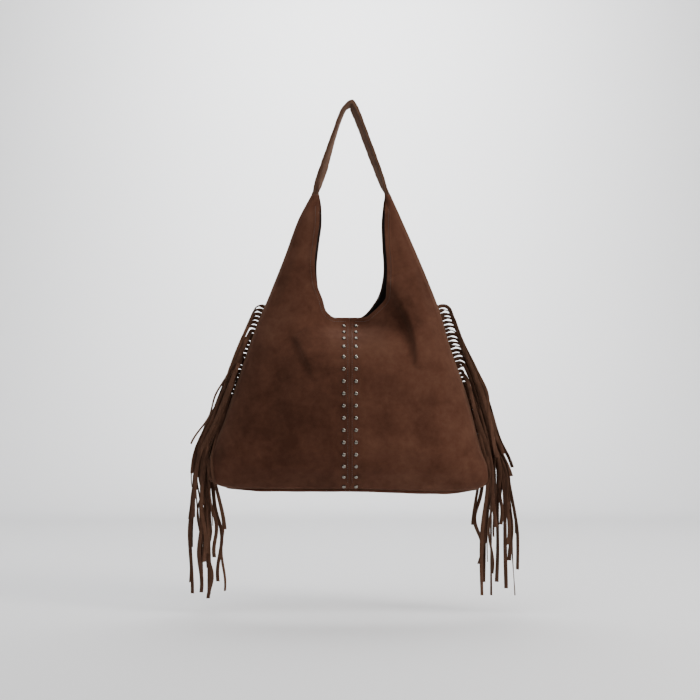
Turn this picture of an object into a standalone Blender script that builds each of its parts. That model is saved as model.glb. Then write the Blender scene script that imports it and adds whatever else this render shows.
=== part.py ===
"""Fringed suede shoulder bag, hung by the crown of its strap.

The origin is on the underside of the strap's crown, where a hook or a shoulder carries the bag.
+Z is up, the studded front faces -Y, and +X is to the right of someone who looks at the front.
Lengths are in millimetres until make_node() turns them to metres.

A panel is one skin of suede. Its outer face is given by depth_at(): how far the face stands in
front of the bag's middle plane, which the two side seams lie in.
"""

import math

import bmesh
import bpy
from mathutils import Vector
from mathutils.bvhtree import BVHTree

MM = 0.001

# Heights, all below the strap's crown
TIP_Z = -141.0
MOUTH_Z = -337.0
SEAM_Z = -608.0

# Skins and the gaps between them
SUEDE = 1.6
LINING = 0.8
LINING_DROP = 2.2
PLAY = 0.3
SIDE_SEAM_HALF = 1.5
CENTRE_SEAM_HALF = 0.2

# Base
BASE_THICK = 4.0
BASE_SAG = 2.0
BOARD_THICK = 2.5
BOARD_INSET = 7.0

# Fringe
LACE_COUNT = 37
LACE_WIDTH = 6.0
LACE_THICK = 1.2
LACE_ROOT = 5.2
LACE_LENGTH = 250
FIRST_LACE_Z = -320.0
LAST_LACE_Z = -552.0
HEADER_DEPTH = 7.0
LANES = (0.0, 17.0, -8.5, 8.5, -17.0)
LANE_SWAY = {0.0: 14.0, 17.0: -6.0, -8.5: 4.0, 8.5: -14.0, -17.0: -24.0}
LACE_RISE = {"left": 12.0, "right": 18.0}
LACE_GROWTH = {"left": 0.060, "right": 0.046}
ROOT_STOPS = (0, 5, 10, 15, 22, 32)
STATIONS = (0, 60, 120, 180, 240, 264, 288, 312, 336, 360, 384, 408, 460, 620)
CORNER_Z = -590.0
# How fast a lace turns edge-on, bends down and moves into its lane after it leaves the seam
EDGE_ON_AT = 10
BEND_REACH = 1.65
LANE_REACH = 15
# How the line of laces swings from the seam's slope to straight down, about the corner
SWING_RATE = 0.95
SWING_ABOVE = 20.0
SWAY_DROP = 70.0

# Studs
STUD_COUNT = 16
STUD_X = 9.6
FIRST_STUD_Z = -350.4
STUD_PITCH = 19.1
STUD_RADIUS = 3.4
STUD_HEIGHT = 2.2

# Magnetic snap
SNAP_Z = -346.5
SNAP_RADIUS = 7.0
SNAP_THICK = 2.4

# Strap
STRAP_WIDTH = 25.0
STRAP_THICK = 5.0
CROWN_THICK = 8.0
CROWN_FLAT = 5.0


def curve_through(points):
    """Returns a smooth function through (t, value) points that never overshoots them."""
    keys = sorted(points)
    slopes = [(b[1] - a[1]) / (b[0] - a[0]) for a, b in zip(keys, keys[1:])]
    tangents = [slopes[0]]
    for before, after in zip(slopes, slopes[1:]):
        same_way = before * after > 0
        tangents.append(2 * before * after / (before + after) if same_way else 0.0)
    tangents.append(slopes[-1])

    def value_at(t):
        t = min(max(t, keys[0][0]), keys[-1][0])
        i = 0
        while i < len(keys) - 2 and t > keys[i + 1][0]:
            i += 1
        (t0, v0), (t1, v1) = keys[i], keys[i + 1]
        span = t1 - t0
        f = (t - t0) / span
        rise = (3 - 2 * f) * f * f
        bend = f * (1 - f) * ((1 - f) * tangents[i] - f * tangents[i + 1]) * span
        return v0 + (v1 - v0) * rise + bend

    return value_at


def ease(t):
    """A smooth step from 0 to 1."""
    t = min(max(t, 0.0), 1.0)
    return t * t * (3 - 2 * t)


# The side seams' distance from the centre line, by height
SIDE_SEAM = {
    "left": curve_through([
        (-141, 62), (-181, 83), (-238, 104), (-296, 127), (-355, 151), (-420, 174),
        (-495, 199), (-581, 227), (-591, 226), (-599, 220), (-604, 211), (-608, 198),
    ]),
    "right": curve_through([
        (-141, 65), (-181, 83), (-238, 108), (-296, 132), (-326, 143), (-384, 160),
        (-456, 185), (-544, 209), (-588, 224), (-596, 223.5), (-603, 218), (-608, 206),
    ]),
}

# The mouth's edge on each panel, as its distance from the centre line
MOUTH_EDGE = {
    ("front", "left"): curve_through([
        (-141, 49.5), (-161, 48.6), (-181, 48.6), (-219, 53), (-250, 56), (-277, 54),
        (-290, 50.5), (-308, 43.5), (-325, 38.6), (-331, 34), (-335, 29), (-337, 25),
    ]),
    ("front", "right"): curve_through([
        (-141, 57.5), (-162, 56), (-190, 55), (-219, 56), (-258, 58.6), (-290, 57.6),
        (-304, 56.8), (-309, 55), (-315, 50), (-324, 41), (-331, 33), (-335, 28), (-337, 23),
    ]),
    ("back", "left"): curve_through([
        (-141, 49), (-161, 45.8), (-181, 45.4), (-219, 49.9), (-258, 53.6), (-286, 51.8),
        (-306, 45), (-325, 40.5), (-331, 36), (-335, 31), (-337, 27),
    ]),
    ("back", "right"): curve_through([
        (-141, 55.7), (-162, 52.6), (-190, 50.7), (-219, 51.8), (-258, 54.1), (-286, 50.7),
        (-306, 43.7), (-315, 37.8), (-325, 30.6), (-334, 21.3), (-337, 16),
    ]),
}

# How far the stuffed body stands out, by height, away from the mouth's middle
FULLNESS = curve_through([
    (-141, 11), (-181, 16), (-240, 22), (-300, 32), (-337, 42), (-360, 50), (-385, 59),
    (-410, 66), (-440, 70), (-545, 70), (-572, 64), (-592, 53), (-608, 42),
])
# The same down the centre seam, where the mouth is drawn shut
CENTRE_DEPTH = curve_through([
    (-337, 6.2), (-343, 6.8), (-350.4, 10), (-361, 26), (-370, 41), (-382, 55), (-397, 66),
    (-410, 69), (-440, 70),
])
PINCH_REACH = 48.0
PINCH_LOW_Z = -440.0
# The width over which a panel swells from its side seam, and how square that swelling is
SWELL_WIDTH = curve_through([
    (-141, 13), (-181, 36), (-240, 52), (-280, 76), (-310, 112), (-337, 140), (-400, 165),
    (-500, 198), (-608, 205),
])
SWELL_POWER = curve_through([(-141, 2.0), (-400, 2.2), (-540, 2.6), (-608, 3.2)])
TIP_CLOSING = 22.0

# The lining stops short of the horns' tips, the side seams and the mouth's edge
LINING_TOP = -160.0
LINING_INSET = 3.5
LINING_RIM = 1.5

# Grid rows: the body from the base seam to the mouth, then the horns up to their tips
BODY_ROWS = (
    -608, -602, -592, -575, -545, -480, -425, -400, -384, -372, -361, -347, -342, -337,
)
HORN_ROWS = (-333, -325, -315, -303, -285, -255, -220, -188, -163, -141)
HORN_COLUMNS = 6
MOUTH_COLUMNS = 3

SUEDE_BROWN = (0.078, 0.036, 0.022, 1.0)
SUEDE_DARK = (0.058, 0.027, 0.016, 1.0)
LINING_BROWN = (0.012, 0.008, 0.006, 1.0)
BOARD_GREY = (0.10, 0.09, 0.08, 1.0)
NICKEL = (0.62, 0.60, 0.57, 1.0)


def clear_scene():
    """Removes whatever the file opened with."""
    for thing in list(bpy.data.objects):
        bpy.data.objects.remove(thing, do_unlink=True)


def material(name, colour, roughness, metallic=0.0):
    """Makes a Principled material."""
    made = bpy.data.materials.new(name)
    made.use_nodes = True
    shader = made.node_tree.nodes["Principled BSDF"]
    shader.inputs["Base Color"].default_value = colour
    shader.inputs["Roughness"].default_value = roughness
    shader.inputs["Metallic"].default_value = metallic
    return made


def make_node(name, points, faces, finish, place=(0.0, 0.0, 0.0)):
    """Makes one named object from points in millimetres, at a place in millimetres."""
    mesh = bpy.data.meshes.new(name)
    mesh.from_pydata([tuple(c * MM for c in p) for p in points], [], faces)
    mesh.validate()
    mesh.materials.append(finish)
    mesh.shade_smooth()
    mesh.set_sharp_from_angle(angle=math.radians(40))
    thing = bpy.data.objects.new(name, mesh)
    thing.location = [c * MM for c in place]
    bpy.context.collection.objects.link(thing)
    return thing


def face_out(thing):
    """Turns every face of a closed node outwards."""
    shape = bmesh.new()
    shape.from_mesh(thing.data)
    bmesh.ops.recalc_face_normals(shape, faces=shape.faces)
    shape.to_mesh(thing.data)
    shape.free()
    return thing


def thicken(thing, thickness):
    """Gives a skin its thickness, inwards from its outer face."""
    solid = thing.modifiers.new("thickness", "SOLIDIFY")
    solid.thickness = thickness * MM
    solid.offset = -1.0
    solid.use_even_offset = True


def base_seam_z(x):
    """The height of the seam between a panel and the base: it sags a little to the right."""
    return SEAM_Z - 4.0 * ease(x / 150.0) * ease((230.0 - x) / 60.0)


def depth_at(x, z, side):
    """How far a panel's outer face stands out from its side seam's face."""
    edge = SIDE_SEAM[side](z)
    width = SWELL_WIDTH(z)
    power = SWELL_POWER(z)
    reach = min(max((edge - abs(x)) / width, 0.0), 1.0)
    swell = (1 - (1 - reach) ** power) ** (1 / power)
    full = FULLNESS(z) * swell
    pinch = math.exp(-((x / PINCH_REACH) ** 2)) * ease((-250 - z) / 60)
    full += (CENTRE_DEPTH(z) - FULLNESS(z)) * pinch * (1 if z > PINCH_LOW_Z else 0)
    near_tip = math.exp(-(((TIP_Z - z) / TIP_CLOSING) ** 2))
    across = min((edge - abs(x)) / 14.0, 1.0)
    return full * (1 - 0.8 * near_tip * across ** 3)


def column_places(face, side, z, rim=0.0):
    """The columns' distances from the centre line in the row at height z, from the side seam in."""
    edge = SIDE_SEAM[side](z)
    corner = MOUTH_EDGE[face, side](max(z, MOUTH_Z)) + rim
    if z < MOUTH_Z:
        corner *= 1 - 0.35 * ease((MOUTH_Z - z) / 120)
    horn = [edge + (corner - edge) * (i / HORN_COLUMNS) ** 1.4 for i in range(HORN_COLUMNS + 1)]
    if z > MOUTH_Z + 0.01:
        return horn
    return horn + [corner * (1 - i / MOUTH_COLUMNS) for i in range(1, MOUTH_COLUMNS + 1)]


def row_height(row_z, x, side, lift=0.0):
    """The height of a point of the row at row_z: low rows follow the sagging base seam."""
    sign = -1 if side == "left" else 1
    low = ease((-540 - row_z) / 68)
    return row_z + (base_seam_z(sign * x) - SEAM_Z) * low + lift * low


def panel_grid(face, side):
    """One half panel's outer face: rows of points from its base seam up, side seam first."""
    sign = -1 if side == "left" else 1
    rows = []
    for z in BODY_ROWS + HORN_ROWS:
        row = []
        for x in column_places(face, side, z):
            depth = SIDE_SEAM_HALF + depth_at(x, z, side)
            row.append(Vector((sign * x, -depth, row_height(z, x, side))))
        rows.append(row)
    return rows


def lining_grid(face, side):
    """The lining's half, inside the panel, the side seam's turnings and the base board."""
    sign = -1 if side == "left" else 1
    lift = PLAY + BOARD_THICK + 3 * PLAY
    rows = []
    for z in BODY_ROWS + HORN_ROWS:
        if z > LINING_TOP:
            break
        edge = SIDE_SEAM[side](z)
        inset = LINING_INSET + 6.5 * ease((-270 - z) / 40)
        rim = LINING_RIM if z > MOUTH_Z + 0.01 else 0.0
        places = column_places(face, side, z, rim)
        inner = places[HORN_COLUMNS]
        drop = LINING_RIM if z > MOUTH_Z - 1 else 0.0
        row = []
        for i, place in enumerate(places):
            x = place
            if i <= HORN_COLUMNS:
                x = inner + (place - inner) * (edge - inset - inner) / (edge - inner)
            steep = max(
                abs(depth_at(place, z + step, side) - depth_at(place, z, side)) / 9
                for step in (9, -9)
            )
            aside = abs(depth_at(place + 6, z, side) - depth_at(place - 6, z, side)) / 12
            under = (SUEDE + LINING_DROP) * min(math.hypot(1.0, steep, aside), 2.8)
            depth = depth_at(place, z, side) + SIDE_SEAM_HALF - under
            depth = 0.0 if i == 0 else max(depth, 0.4)
            row.append(Vector((sign * x, -depth, row_height(z, x, side, lift) - drop)))
        rows.append(row)
    return rows


def skin_faces(rows, start, flip):
    """The quads of one half's grid, whose points are numbered from start; horn rows are shorter."""
    offsets = []
    for row in rows:
        offsets.append(start)
        start += len(row)
    faces = []
    for r in range(len(rows) - 1):
        for c in range(min(len(rows[r]), len(rows[r + 1])) - 1):
            a, b = offsets[r] + c, offsets[r + 1] + c
            faces.append((a, b, b + 1, a + 1) if flip else (a, a + 1, b + 1, b))
    return faces, start


def to_back(rows):
    """The same rows on the back of the bag."""
    return [[Vector((p.x, -p.y, p.z)) for p in row] for row in rows]


def welded(points, faces):
    """Joins points that share a place, and drops the faces that this flattens."""
    seen, index, kept = {}, [], []
    for p in points:
        key = tuple(round(c, 3) for c in p)
        if key not in seen:
            seen[key] = len(kept)
            kept.append(p)
        index.append(seen[key])
    joined = []
    for face in faces:
        ring = [index[i] for i in face]
        ring = [v for i, v in enumerate(ring) if v != ring[i - 1]]
        if len(ring) >= 3:
            joined.append(tuple(ring))
    return kept, joined


def front_panel(side, finish):
    """One half of the front, whose inner edge stops just short of the centre seam."""
    rows = panel_grid("front", side)
    sign = -1 if side == "left" else 1
    for row in rows[:len(BODY_ROWS)]:
        row[-1].x = sign * CENTRE_SEAM_HALF
    faces, _ = skin_faces(rows, 0, side == "right")
    thing = make_node(f"front_{side}_panel", [p for row in rows for p in row], faces, finish)
    thicken(thing, SUEDE)
    return thing


def back_panel(finish):
    """The plain back, in one piece."""
    points, faces = [], []
    for side in ("left", "right"):
        rows = to_back(panel_grid("back", side))
        more, _ = skin_faces(rows, len(points), side == "left")
        faces += more
        points += [p for row in rows for p in row]
    thicken(make_node("back_panel", *welded(points, faces), finish), SUEDE)


def lining(finish):
    """The lining: front and back sheets joined at the sides, with a strip along the bottom."""
    points, faces = [], []
    for side in ("left", "right"):
        front = lining_grid("front", side)
        back = to_back(lining_grid("back", side))
        for rows, flip in ((front, side == "right"), (back, side == "left")):
            more, _ = skin_faces(rows, len(points), flip)
            faces += more
            points += [p for row in rows for p in row]
        low = [front[0], back[0]]
        more, _ = skin_faces(low, len(points), side == "left")
        faces += more
        points += low[0] + low[1]
    thicken(make_node("lining", *welded(points, faces), finish), LINING)


def slab(name, outline, top_at, thickness, finish, sag=0.0):
    """A plate under the bag. outline is (x, half depth) pairs; top_at gives its top's height."""
    stations = (-1.0, -0.6, 0.0, 0.6, 1.0)
    n = len(stations)
    points = []
    for x, half in outline:
        points += [Vector((x, half * s, top_at(x))) for s in stations]
    count = len(points)
    for x, half in outline:
        fade = min(half / 30.0, 1.0)
        points += [
            Vector((x, half * s, top_at(x) - thickness - sag * fade * (1 - s * s)))
            for s in stations
        ]
    faces = []
    for i in range(len(outline) - 1):
        for j in range(n - 1):
            a = i * n + j
            faces.append((a, a + n, a + n + 1, a + 1))
            faces.append((count + a, count + a + 1, count + a + n + 1, count + a + n))
        low, high = i * n, i * n + n - 1
        faces.append((low, count + low, count + low + n, low + n))
        faces.append((high, high + n, count + high + n, count + high))
    last = (len(outline) - 1) * n
    for j in range(n - 1):
        faces.append((j, j + 1, count + j + 1, count + j))
        faces.append((last + j, count + last + j, count + last + j + 1, last + j + 1))
    return face_out(make_node(name, points, faces, finish))


def base_outline(inset):
    """The base's (x, half depth) pairs, from its left end to its right."""
    pairs = []
    for side, sign in (("left", -1), ("right", 1)):
        places = column_places("front", side, SEAM_Z)
        ring = []
        for x in places:
            half = depth_at(x, SEAM_Z, side) + SIDE_SEAM_HALF - inset
            if half > 0.5:
                ring.append((sign * x, half))
        pairs += ring if sign < 0 else ring[-2::-1]
    return pairs


def base(suede, board):
    """The base panel under the seams, and the stiff board that lies on it."""
    slab("base_panel", base_outline(0.0), lambda x: base_seam_z(max(x, 0)) - PLAY,
         BASE_THICK, suede, BASE_SAG)
    slab("base_board", base_outline(BOARD_INSET),
         lambda x: base_seam_z(max(x, 0)) + PLAY + BOARD_THICK, BOARD_THICK, board)


def drape_line(side):
    """The line that the laces lie along: (x, z, angle, sway) at every millimetre.

    It follows the side seam, then turns to hang straight down past the base's corner. It is
    straight between its stations, so that laces laid on it one outside another stay clear.
    """
    seam = SIDE_SEAM[side]
    z, x = FIRST_LACE_Z, seam(FIRST_LACE_Z)
    curve = []
    for _ in range(STATIONS[-1] + 1):
        if z > CORNER_Z + SWING_ABOVE:
            slope = math.atan2(seam(z - 4) - seam(z + 4), 8.0)
        else:
            slope = curve[-1][2] * SWING_RATE
        sway = ease(max(CORNER_Z - SWING_ABOVE - z, 0.0) / SWAY_DROP)
        curve.append((x, z, slope, sway))
        x += math.sin(slope)
        z -= math.cos(slope)
    line = []
    for first, second in zip(STATIONS, STATIONS[1:]):
        for d in range(first, second):
            t = (d - first) / (second - first)
            line.append([p + (q - p) * t for p, q in zip(curve[first], curve[second])])
    return line


def lace_rings(side, number, line):
    """The four-cornered rings along one lace, from its root in the side seam to its tip.

    The lace leaves the seam flat against it, turns edge-on and bends down into its own lane.
    """
    sign = -1 if side == "left" else 1
    root_z = FIRST_LACE_Z + (LAST_LACE_Z - FIRST_LACE_Z) / (LACE_COUNT - 1) * number
    start = min(range(len(line)), key=lambda i: abs(line[i][1] - root_z))
    last = min(range(len(line)), key=lambda i: abs(line[i][1] - LAST_LACE_Z))
    lane = LANES[number % len(LANES)]
    rings, along, out = [], 0.0, 0.0
    for s in range(LACE_LENGTH + 1):
        turn = math.radians(90) * ease((s - 1) / (LACE_RISE[side] * BEND_REACH))
        at = start + round(along)
        bends = at in STATIONS and ROOT_STOPS[2] < s < LACE_LENGTH - 2
        if bends or s in ROOT_STOPS or s == LACE_LENGTH:
            x, z, slope, sway = line[min(at, len(line) - 1)]
            stack = out + LACE_GROWTH[side] * max(min(start + along, last) - start, 0)
            centre = Vector((
                sign * (x + stack * math.cos(slope) + sway * LANE_SWAY[lane]),
                lane * ease((s - 1) / LANE_REACH),
                z + stack * math.sin(slope),
            ))
            across = Vector((
                sign * (math.sin(slope) * math.cos(turn) - math.cos(slope) * math.sin(turn)),
                0,
                -math.cos(slope) * math.cos(turn) - math.sin(slope) * math.sin(turn),
            ))
            turned = ease(s / EDGE_ON_AT)
            tall = across * (LACE_ROOT + (LACE_THICK - LACE_ROOT) * turned) / 2
            deep = Vector((0, LACE_THICK + (LACE_WIDTH - LACE_THICK) * turned, 0)) / 2
            corners = (-tall - deep, tall - deep, tall + deep, deep - tall)
            rings.append([centre + corner for corner in corners])
        along += math.sin(turn)
        out += math.cos(turn)
    return rings


def fringe(side, finish):
    """One side's fringe: a header held in the side seam, and the laces that are cut from it."""
    sign = -1 if side == "left" else 1
    line = drape_line(side)
    points, faces = [], []
    header = []
    for number in range(LACE_COUNT):
        rings = lace_rings(side, number, line)
        base_index = len(points)
        for ring in rings:
            points += ring
        for r in range(len(rings) - 1):
            a = base_index + 4 * r
            for j in range(4):
                k = (j + 1) % 4
                faces.append((a + j, a + 4 + j, a + 4 + k, a + k))
        tip = base_index + 4 * (len(rings) - 1)
        faces.append((tip, tip + 3, tip + 2, tip + 1))
        inner = len(points)
        inwards = Vector((-sign * HEADER_DEPTH, 0, -1.5))
        points += [p + inwards for p in rings[0]]
        header.append((base_index, inner))
        for j in (0, 2):
            k = (j + 1) % 4
            faces.append((inner + j, base_index + j, base_index + k, inner + k))
        faces.append((inner, inner + 1, inner + 2, inner + 3))
    for (a, ia), (b, ib) in zip(header, header[1:]):
        faces.append((a + 1, b, b + 3, a + 2))
        faces.append((ia + 1, ia + 2, ib + 3, ib))
        faces.append((ia + 1, ib, b, a + 1))
        faces.append((ia + 2, a + 2, b + 3, ib + 3))
    first, last = header[0], header[-1]
    faces.append((first[0], first[0] + 3, first[1] + 3, first[1]))
    faces.append((last[0] + 1, last[1] + 1, last[1] + 2, last[0] + 2))
    return face_out(make_node(f"{side}_fringe", points, faces, finish))


def strap_sections():
    """(x, z, tilt in degrees, twist in degrees, width, thickness) along the strap, left to right.

    tilt is the strap's direction above level. twist turns its front edge outwards.
    """
    half = CROWN_THICK / 2
    return (
        (-57.2, -153, 82, 0, 9, 3.0),
        (-55.6, -143, 78, -2, 12, 3.6),
        (-53.6, -131, 75, -10, 19, STRAP_THICK),
        (-49.0, -116, 72, -16, 23, STRAP_THICK),
        (-42.5, -98, 71, -18, STRAP_WIDTH, STRAP_THICK),
        (-33.3, -69, 72, -13, STRAP_WIDTH, STRAP_THICK),
        (-23.0, -37, 70, -6, STRAP_WIDTH, STRAP_THICK),
        (-14.6, -13, 66, -2, STRAP_WIDTH, STRAP_THICK + 1),
        (-9.6, -3.4, 55, 0, STRAP_WIDTH, CROWN_THICK - 1),
        (-CROWN_FLAT / 2, half, 0, 0, STRAP_WIDTH, CROWN_THICK),
        (CROWN_FLAT / 2, half, 0, 0, STRAP_WIDTH, CROWN_THICK),
        (7.6, -4.8, -62, 8, STRAP_WIDTH, CROWN_THICK - 1),
        (12.2, -17, -67, 16, STRAP_WIDTH, STRAP_THICK + 1),
        (20.4, -37, -69, 20, STRAP_WIDTH, STRAP_THICK),
        (32.3, -69, -70, 20, STRAP_WIDTH, STRAP_THICK),
        (43.2, -98, -70, 18, STRAP_WIDTH, STRAP_THICK),
        (50.4, -118, -72, 14, 22, STRAP_THICK),
        (55.8, -133, -75, 8, 18, STRAP_THICK),
        (59.9, -143, -78, 2, 12, 3.6),
        (61.6, -153, -82, 0, 9, 3.0),
    )


def strap(finish):
    """The strap: one folded band, twisted on its way from horn to horn."""
    points, faces = [], []
    sections = strap_sections()
    for x, z, tilt, twist, width, thickness in sections:
        lean, turn = math.radians(tilt), math.radians(twist)
        out = Vector((-math.sin(lean), 0, math.cos(lean)))
        depth = Vector((0, 1, 0))
        wide = (depth * math.cos(turn) - out * math.sin(abs(turn))) * width / 2
        thin = (out * math.cos(turn) + depth * math.sin(abs(turn))) * thickness / 2
        centre = Vector((x, 0, z))
        points += [centre - wide - thin, centre + wide - thin]
        points += [centre + wide + thin, centre - wide + thin]
    for i in range(len(sections) - 1):
        a = 4 * i
        for j in range(4):
            k = (j + 1) % 4
            faces.append((a + j, a + k, a + 4 + k, a + 4 + j))
    end = 4 * (len(sections) - 1)
    faces += [(3, 2, 1, 0), (end, end + 1, end + 2, end + 3)]
    return face_out(make_node("strap", points, faces, finish))


def dome(name, place, direction, finish):
    """A round-headed stud, lying flat on the suede."""
    segments, points = 12, []
    levels = ((1.0, 0.0), (1.0, 0.22), (0.78, 0.72), (0.40, 0.95))
    for share, height in levels:
        for i in range(segments):
            angle = 2 * math.pi * i / segments
            radius = STUD_RADIUS * share
            points.append((radius * math.cos(angle), radius * math.sin(angle), STUD_HEIGHT * height))
    faces = [tuple(reversed(range(segments)))]
    for r in range(len(levels) - 1):
        for i in range(segments):
            a, b = r * segments + i, r * segments + (i + 1) % segments
            faces.append((a, b, b + segments, a + segments))
    faces.append(tuple(range(segments * (len(levels) - 1), segments * len(levels))))
    turn = direction.to_track_quat("Z", "Y").to_matrix()
    return make_node(name, [turn @ Vector(p) for p in points], faces, finish, place)


def stud_heights():
    """The height of each stud, at equal steps along the suede of the centre seam."""
    z, step = FIRST_STUD_Z, 0.1
    depth = CENTRE_DEPTH(z)
    heights, run = [z], 0.0
    while len(heights) < STUD_COUNT:
        z -= step
        following = CENTRE_DEPTH(z) if z > PINCH_LOW_Z else FULLNESS(z)
        run += math.hypot(step, following - depth)
        depth = following
        if run >= STUD_PITCH:
            heights.append(z)
            run = 0.0
    return heights


def studs(panels, finish):
    """Two rows of studs, one on each side of the centre seam."""
    depsgraph = bpy.context.evaluated_depsgraph_get()
    for side, sign in (("left", -1), ("right", 1)):
        tree = BVHTree.FromObject(panels[side], depsgraph)
        for number, z in enumerate(stud_heights(), start=1):
            start = Vector((sign * STUD_X, -200, z)) * MM
            hit, normal, _, _ = tree.ray_cast(start, Vector((0, 1, 0)))
            place = hit / MM + normal * PLAY * 2
            dome(f"stud_{side}_{number:02d}", place, normal, finish)


def snap(name, sign, finish):
    """One half of the magnetic snap that draws the mouth shut."""
    segments, points = 20, []
    near, far = PLAY / 2, PLAY / 2 + SNAP_THICK
    for y, radius in ((near, SNAP_RADIUS), (far - 0.4, SNAP_RADIUS), (far, SNAP_RADIUS - 0.6)):
        for i in range(segments):
            angle = 2 * math.pi * i / segments
            points.append((radius * math.cos(angle), sign * y, SNAP_Z + radius * math.sin(angle)))
    faces = [tuple(range(segments)), tuple(reversed(range(2 * segments, 3 * segments)))]
    for r in range(2):
        for i in range(segments):
            a, b = r * segments + i, r * segments + (i + 1) % segments
            faces.append((a, a + segments, b + segments, b))
    return face_out(make_node(name, points, faces, finish))


def main():
    """Builds the bag."""
    clear_scene()
    suede = material("suede", SUEDE_BROWN, 0.95)
    lace_suede = material("lace_suede", SUEDE_DARK, 0.95)
    nickel = material("nickel", NICKEL, 0.25, 1.0)
    panels = {side: front_panel(side, suede) for side in ("left", "right")}
    back_panel(suede)
    lining(material("lining_cloth", LINING_BROWN, 0.9))
    base(suede, material("fibreboard", BOARD_GREY, 0.9))
    for side in ("left", "right"):
        fringe(side, lace_suede)
    strap(suede)
    studs(panels, nickel)
    snap("snap_front", -1, nickel)
    snap("snap_back", 1, nickel)


main()
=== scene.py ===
"""Looks of a fringed suede shoulder bag, hung by the crown of its strap.

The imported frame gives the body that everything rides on. Lengths here are in millimetres until
Mesher.make() turns them to metres. +Z is up, the studded front faces -Y and the origin is under
the strap's crown, as in the frame.
"""

from __future__ import annotations

import logging
import math
import sys
from dataclasses import dataclass, field
from enum import Enum

import bmesh
import bpy
import numpy as np
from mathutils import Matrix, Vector

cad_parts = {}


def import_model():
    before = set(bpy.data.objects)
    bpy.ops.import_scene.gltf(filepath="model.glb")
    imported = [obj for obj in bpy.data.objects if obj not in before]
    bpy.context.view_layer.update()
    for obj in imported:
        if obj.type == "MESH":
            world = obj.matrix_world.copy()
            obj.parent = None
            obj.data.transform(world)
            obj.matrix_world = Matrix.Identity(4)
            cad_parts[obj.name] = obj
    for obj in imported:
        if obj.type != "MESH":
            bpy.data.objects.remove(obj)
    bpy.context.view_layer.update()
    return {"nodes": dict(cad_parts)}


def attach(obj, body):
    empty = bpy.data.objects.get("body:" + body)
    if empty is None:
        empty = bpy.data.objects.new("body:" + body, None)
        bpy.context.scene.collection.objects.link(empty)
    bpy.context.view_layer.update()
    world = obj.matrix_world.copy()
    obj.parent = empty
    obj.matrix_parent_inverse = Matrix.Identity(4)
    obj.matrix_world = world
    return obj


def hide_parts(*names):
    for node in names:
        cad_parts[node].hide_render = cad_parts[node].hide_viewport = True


LOG = logging.getLogger("bag")
MM = 0.001
BODY = "root"

TIP_Z = -141.0
MOUTH_Z = -337.0
PINCH_LOW_Z = -440.0
LOW_Z = -540.0
SEAM_Z = -608.0
SIDE_SEAM_HALF = 1.5
SUEDE_THICK = 1.6
HEM_STITCH_INSET = 6.4
CENTRE_STITCH_X = 3.4


class Side(Enum):
    """Which half of the bag, seen from the front. The value is the sign of its x."""

    LEFT = -1
    RIGHT = 1

    @property
    def word(self) -> str:
        """The side's name in lower case."""
        return self.name.lower()


class Face(Enum):
    """Front or back. The value is the sign of its y."""

    FRONT = -1
    BACK = 1


class Curve:
    """A smooth function through (t, value) points that never overshoots them."""

    def __init__(self, points: list[tuple[float, float]]) -> None:
        """Works out the tangent at each point.

        Args:
            points: (t, value) pairs in any order.
        """
        keys = sorted(points)
        self.t = np.array([k[0] for k in keys], float)
        self.v = np.array([k[1] for k in keys], float)
        slopes = np.diff(self.v) / np.diff(self.t)
        inner = np.zeros(len(slopes) - 1)
        same = slopes[:-1] * slopes[1:] > 0
        inner[same] = 2 * slopes[:-1][same] * slopes[1:][same] / (slopes[:-1] + slopes[1:])[same]
        self.m = np.concatenate([[slopes[0]], inner, [slopes[-1]]])

    def __call__(self, t: np.ndarray | float) -> np.ndarray:
        """Gives the value at t, held level past both ends.

        Args:
            t: one place or an array of them.

        Returns:
            The values, in t's shape.
        """
        t = np.clip(t, self.t[0], self.t[-1])
        i = np.clip(np.searchsorted(self.t, t, side="right") - 1, 0, len(self.t) - 2)
        span = self.t[i + 1] - self.t[i]
        f = (t - self.t[i]) / span
        rise = (3 - 2 * f) * f * f
        bend = f * (1 - f) * ((1 - f) * self.m[i] - f * self.m[i + 1]) * span
        return self.v[i] + (self.v[i + 1] - self.v[i]) * rise + bend


def ease(t: np.ndarray | float) -> np.ndarray:
    """A smooth step from 0 to 1.

    Args:
        t: where on the step, 0 to 1.

    Returns:
        The step's height.
    """
    t = np.clip(t, 0.0, 1.0)
    return t * t * (3 - 2 * t)


def waves(x: np.ndarray, z: np.ndarray, length: float, seed: int) -> np.ndarray:
    """Soft uneven undulations, about -1 to 1, the same on every run.

    Args:
        x: one coordinate.
        z: the other.
        length: the typical distance from crest to crest.
        seed: picks the pattern.

    Returns:
        The undulation at each place.
    """
    rng = np.random.default_rng(seed)
    total = np.zeros(np.broadcast(x, z).shape)
    for _ in range(6):
        angle, phase = rng.uniform(0, math.pi), rng.uniform(0, 2 * math.pi)
        k = 2 * math.pi / (length * rng.uniform(0.7, 1.5))
        total = total + np.sin(k * (x * math.cos(angle) + z * math.sin(angle)) + phase)
    return total / 3.2


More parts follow.
